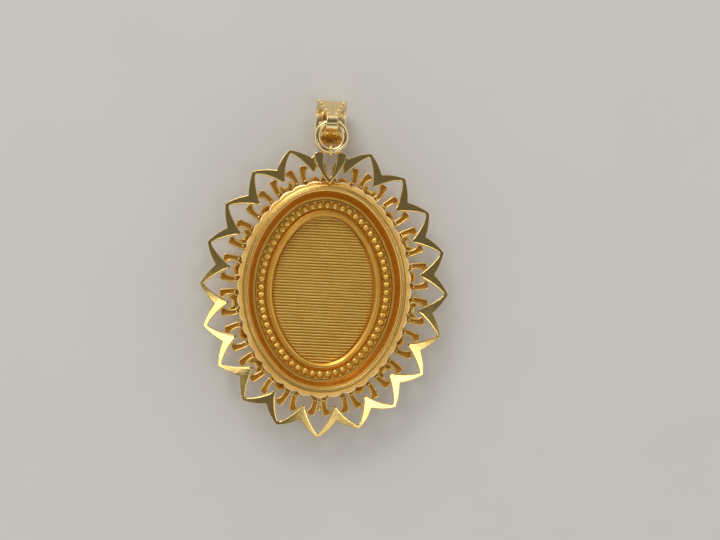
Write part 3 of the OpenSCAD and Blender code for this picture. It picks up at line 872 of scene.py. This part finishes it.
HEART_HALF = [
    (0.0, 0.0), (0.55, 0.67), (1.2, 1.6), (1.8, 2.55), (2.2, 3.45), (2.38, 4.1), (2.38, 4.45), (2.1, 4.71),
    (1.5, 4.85), (1.05, 4.97), (0.9, 5.5), (0.0, 5.55),
]
SLOT_HALF = [(0.0, 0.97), (0.34, 1.33), (0.66, 1.95), (0.86, 2.65), (0.98, 3.65), (1.0, 4.6)]


def two_sided(half):
    """The whole outline from its right half, moved to the heart's place."""
    points = half + [(-x, y) for x, y in reversed(half) if x > 0]
    return [Vector((x, y + RIM_HALF_H + HEART_OUT)) for x, y in points]


def plate(bm, outlines, low, high, bevel):
    """A flat plate with holes and rounded edges. The first outline is its edge, the others are holes."""
    curve = bpy.data.curves.new("plate_outline", "CURVE")
    curve.dimensions = "2D"
    curve.fill_mode = "BOTH"
    curve.extrude = (high - low) / 2 - bevel
    curve.bevel_depth = bevel
    curve.bevel_resolution = 3
    curve.offset = -bevel
    for outline in outlines:
        spline = curve.splines.new("POLY")
        spline.points.add(len(outline) - 1)
        for point, place_2d in zip(spline.points, outline):
            point.co = (place_2d.x, place_2d.y, 0, 1)
        spline.use_cyclic_u = True
    holder = bpy.data.objects.new("plate_outline", curve)
    bpy.context.scene.collection.objects.link(holder)
    bpy.context.view_layer.update()
    mesh = bpy.data.meshes.new_from_object(holder)
    made_before = set(bm.verts)
    bm.from_mesh(mesh)
    made = [v for v in bm.verts if v not in made_before]
    bmesh.ops.remove_doubles(bm, verts=made, dist=1e-4)
    made = [v for v in bm.verts if v not in made_before]
    bmesh.ops.translate(bm, vec=(0, 0, (low + high) / 2), verts=made)
    bpy.data.objects.remove(holder)
    bpy.data.curves.remove(curve)
    bpy.data.meshes.remove(mesh)


def build_heart():
    """The heart-shaped plate with its slot, a skirt down to the rays, and the ring's eye."""
    bm = bmesh.new()
    edge = rounded(two_sided(HEART_HALF), 0.2, 3)
    slot_edge = rounded(two_sided(SLOT_HALF), 0.12, 3)
    plate(bm, [edge, slot_edge], HEART_Z, HEART_TOP, 0.1)
    skirt_t = 0.3
    for side in (-1, 1):
        rows = []
        for x, rise in ((1.78, 2.65), (2.0, 3.1), (2.16, 3.5), (2.32, 4.05), (2.33, 4.43), (2.1, 4.65)):
            out = HEART_OUT + rise
            y = RIM_HALF_H + out
            foot = ray_under(out) + RAY_T - 0.03
            normal = Vector((1.0, -0.35) if rise < 4.3 else (0.9, 0.3)).normalized()
            back = Vector((x, y)) - normal * skirt_t
            rows.append([
                (side * x, y, foot), (side * x, y, HEART_Z + 0.06), (side * back.x, back.y, HEART_Z + 0.06),
                (side * back.x, back.y, foot),
            ])
        skin(bm, rows, caps=True)
    object_from("heart_plate", bm, [POLISHED], "tray", ["heart_tab"], sharp=42)
    bm = bmesh.new()
    centre = (0, RING_Y - RING_R, RING_Z)
    torus(bm, centre, EYE_R, EYE_WIRE_R, axis="X", around=40, across=14, floor=HEART_TOP)
    object_from("ring_eye", bm, [EDGE], "tray", ["hanging_eye"])


# ---------------------------------------------------------------- ring and bail


def build_ring():
    """The jump ring: round wire, closed by a fine seam on its left side."""
    bm = bmesh.new()
    around, across = 120, 28
    seam = math.radians(200)
    rows = []
    for k in range(around):
        a = 2 * math.pi * k / around
        gap = abs((a - seam + math.pi) % (2 * math.pi) - math.pi)
        minor = WIRE_R * (0.975 if gap < math.radians(1.6) else 1.0) * (1 - 0.008 * math.sin(3 * a))
        row = []
        for m in range(across):
            b = 2 * math.pi * m / across
            r = RING_R + minor * math.cos(b)
            row.append((r * math.cos(a), RING_Y + r * math.sin(a), RING_Z + minor * math.sin(b)))
        rows.append(row)
    skin(bm, rows, close_rows=True)
    object_from("wire_ring", bm, [RING_GOLD], "ring", ["jump_ring"])


def bail_stations():
    """Stations round the strap: a point of its inner face and the outward direction, in Y and Z."""
    top = Vector((RING_Y + RING_R, RING_Z))
    low = Vector((top.x + BAIL_REACH, RING_Z - BAIL_DROP))
    span = math.hypot(BAIL_REACH, BAIL_DROP)
    up = math.atan2(BAIL_DROP, -BAIL_REACH)
    flare = math.acos((BAIL_LOOP_R - BAIL_TOP_R) / span)
    flank = span * math.sin(flare)
    stations = []

    def add(centre, radius, angle, slide=0.0):
        out = Vector((math.cos(angle), math.sin(angle)))
        along = Vector((-math.sin(angle), math.cos(angle)))
        stations.append((centre + out * radius + along * slide, out))

    arc_steps, flank_steps, loop_steps = 20, 14, 72
    for k in range(arc_steps + 1):
        add(top, BAIL_TOP_R, up - flare + 2 * flare * k / arc_steps)
    for k in range(1, flank_steps):
        add(low, BAIL_LOOP_R, up + flare, -flank * (1 - k / flank_steps))
    for k in range(loop_steps + 1):
        add(low, BAIL_LOOP_R, up + flare + (2 * math.pi - 2 * flare) * k / loop_steps)
    for k in range(1, flank_steps):
        add(low, BAIL_LOOP_R, up - flare, flank * k / flank_steps)
    return stations, low, up - flare, flank


def strap_section(half, shown):
    """The strap's section as (place across, height above the inner face). shown is 0 to 1 for its pattern."""
    seat = min(0.35, half * 0.5)
    groove = 0.11 * shown
    ridge = 0.07 * shown
    outer = [
        (-half, STRAP_T - 0.09), (-half + 0.03, STRAP_T - 0.03), (-half + 0.09, STRAP_T),
        (-half + seat - 0.24, STRAP_T - ridge * 0.3), (-half + seat, STRAP_T - ridge),
        (-half + seat + 0.26, STRAP_T - ridge * 0.2), (-half * 0.3, STRAP_T),
        (-0.12, STRAP_T - groove * 0.1), (-0.05, STRAP_T - groove), (0.05, STRAP_T - groove),
        (0.12, STRAP_T - groove * 0.1), (half * 0.3, STRAP_T),
        (half - seat - 0.26, STRAP_T - ridge * 0.2), (half - seat, STRAP_T - ridge),
        (half - seat + 0.24, STRAP_T - ridge * 0.3),
        (half - 0.09, STRAP_T), (half - 0.03, STRAP_T - 0.03), (half, STRAP_T - 0.09),
    ]
    inner = [(half, 0.07), (half - 0.07, 0.0), (half * 0.5, 0.0), (0.0, 0.0)]
    inner += [(-half * 0.5, 0.0), (-half + 0.07, 0.0), (-half, 0.07)]
    return sorted(outer, key=lambda p: p[0]) + inner


def build_strap(stations):
    """The strap, with a groove down the middle of its front."""
    rows = []
    for point, out in stations:
        face = point + out * STRAP_T
        front = max(0.0, min(1.0, (out.x + 0.1) * 4))
        shown = front * max(0.0, min(1.0, (7.6 - face.y) * 1.5))
        row = []
        for x, h in strap_section(strap_half(face.y), shown):
            p = point + out * h
            row.append((x, p.x, p.y))
        rows.append(row)
    bm = bmesh.new()
    skin(bm, rows, close_rows=True)
    object_from("bail_loop", bm, [RING_GOLD], "bail", ["bail_strap"], sharp=45)


def build_grains(low, aim, flank):
    """A row of grains along each edge of the strap's front."""
    face_r = BAIL_LOOP_R + STRAP_T
    spots = []
    for k in range(GRAIN_COUNT):
        along = GRAIN_STEP * (k + 0.35)
        turn = aim - max(0.0, along - flank) / face_r
        out = Vector((math.cos(turn), math.sin(turn)))
        rise = Vector((-math.sin(aim), math.cos(aim))) * max(0.0, flank - along)
        spots.append((low + out * face_r + rise, out))
    for side, name in ((-1, "left"), (1, "right")):
        bm = bmesh.new()
        for point, out in spots:
            x = side * (strap_half(point.y) - GRAIN_R)
            centre = point - out * 0.02
            ball(bm, (x, centre.x, centre.y), GRAIN_R * random.uniform(0.93, 1.0), segments=16, rings=12)
        object_from(f"grains_{name}", bm, [RING_GOLD], "bail", [f"bail_beads_{name}"], sharp=60)


def build_bail():
    """The strap and its grains."""
    stations, low, aim, flank = bail_stations()
    build_strap(stations)
    build_grains(low, aim, flank)


build_tray()
build_collar()
build_gallery()
build_panel()
build_picture_frame()
for index in range(PLACES):
    build_bracket(index)
build_solder()
build_link()
build_rays()
build_heart()
build_ring()
build_bail()

# ---------------------------------------------------------------- stage
# Lengths on the stage are in metres.

FLOOR_SIZE = 3.0
FLOOR_GAP = 0.00002
SENSOR_MM = 36.0


def build_floor():
    """A wide sheet of pale paper just under the locket's back."""
    bpy.ops.mesh.primitive_plane_add(size=FLOOR_SIZE, location=(0, 0, -FLOOR_GAP))
    floor = bpy.context.object
    floor.name = "floor"
    n = Nodes("pale_paper")
    colour = n.mix(n.noise(60.0, 3.0), (0.80, 0.79, 0.77), (0.84, 0.83, 0.81))
    n.tree.links.new(colour, n.shader.inputs["Base Color"])
    n.shader.inputs["Roughness"].default_value = 0.9
    floor.data.materials.append(n.material)


def soft_light(name, azimuth, tilt, distance, size, level, colour=(1.0, 0.97, 0.93)):
    """A round soft light, tilt degrees from straight overhead, facing the locket.

    level is how bright the light looks in a perfect mirror, where 1 is white.
    """
    a, t = math.radians(azimuth), math.radians(tilt)
    place_3d = Vector((math.cos(a) * math.sin(t), math.sin(a) * math.sin(t), math.cos(t))) * distance
    data = bpy.data.lights.new(name, "AREA")
    data.shape = "DISK"
    data.size = size
    data.energy = level * math.pi * math.pi * size * size / 4
    data.color = colour
    light = bpy.data.objects.new(name, data)
    bpy.context.scene.collection.objects.link(light)
    light.location = place_3d
    light.rotation_euler = (-place_3d).to_track_quat("-Z", "Y").to_euler()


def build_world():
    """A soft surround: dim overhead and brighter towards the horizon, as between studio walls."""
    world = bpy.data.worlds.new("studio")
    bpy.context.scene.world = world
    world.use_nodes = True
    tree = world.node_tree
    background = tree.nodes["Background"]
    where = tree.nodes.new("ShaderNodeTexCoord")
    split = tree.nodes.new("ShaderNodeSeparateXYZ")
    level = tree.nodes.new("ShaderNodeMapRange")
    level.interpolation_type = "SMOOTHSTEP"
    for name, value in (("From Min", 0.3), ("From Max", 0.88), ("To Min", 0.95), ("To Max", 0.13)):
        level.inputs[name].default_value = value
    tree.links.new(where.outputs["Generated"], split.inputs["Vector"])
    tree.links.new(split.outputs["Z"], level.inputs["Value"])
    tree.links.new(level.outputs["Result"], background.inputs["Strength"])
    background.inputs["Color"].default_value = (1.0, 0.98, 0.94, 1)


def build_lights():
    soft_light("key_light", -34, 19, 0.7, 0.22, 2.5)
    soft_light("left_light", 193, 17, 0.7, 0.15, 2.4)
    soft_light("low_light", -82, 17, 0.7, 0.13, 1.0)
    soft_light("far_light", 115, 50, 0.8, 0.4, 4.0)


def build_camera():
    """Almost straight overhead, leaning a little to the lower left, with the locket left of the middle."""
    distance = 0.55
    view_width = 0.10665
    data = bpy.data.cameras.new("camera")
    data.sensor_width = SENSOR_MM
    data.lens = SENSOR_MM * distance / view_width
    camera = bpy.data.objects.new("camera", data)
    bpy.context.scene.collection.objects.link(camera)
    aim = Vector((0.0052, 0.0031, 0.004))
    back = Vector((-0.04, -0.06, 1.0)).normalized()
    turn = math.radians(2.5)
    up = Vector((-math.sin(turn), math.cos(turn), 0.0))
    right = up.cross(back).normalized()
    true_up = back.cross(right).normalized()
    matrix = Matrix((right, true_up, back)).transposed().to_4x4()
    matrix.translation = aim + back * distance
    camera.matrix_world = matrix
    bpy.context.scene.camera = camera


build_floor()
build_world()
build_lights()
build_camera()
bpy.context.scene.view_settings.view_transform = "Standard"
